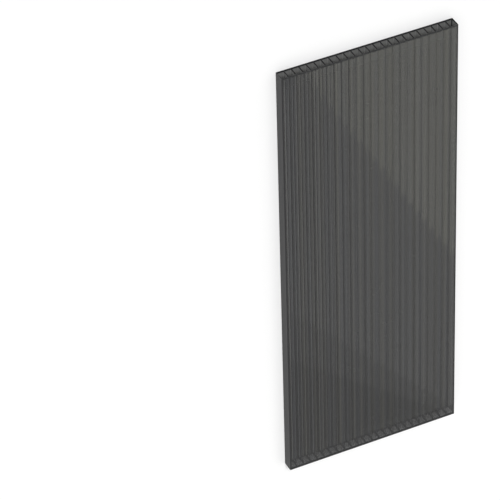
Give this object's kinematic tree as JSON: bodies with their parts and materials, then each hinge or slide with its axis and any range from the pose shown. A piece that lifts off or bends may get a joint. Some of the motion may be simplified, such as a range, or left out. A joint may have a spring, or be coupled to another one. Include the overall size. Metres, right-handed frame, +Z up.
{
  "type": "multiwall polycarbonate sheet",
  "caption": "Flat smoke-grey twin-wall polycarbonate glazing sheet with open cells running its full length.",
  "frame": {"origin": "middle of the underside", "axes": "+X across the sheet, +Y along the cells, towards the end that is uppermost in the picture, +Z up through the thickness, towards the face that the picture shows"},
  "size_m": [0.385, 1, 0.025],
  "materials": {
    "smoke_polycarbonate": "gloss"
  },
  "bodies": {
    "root": {"twinwall_sheet": "smoke_polycarbonate"}
  },
  "joints": []
}
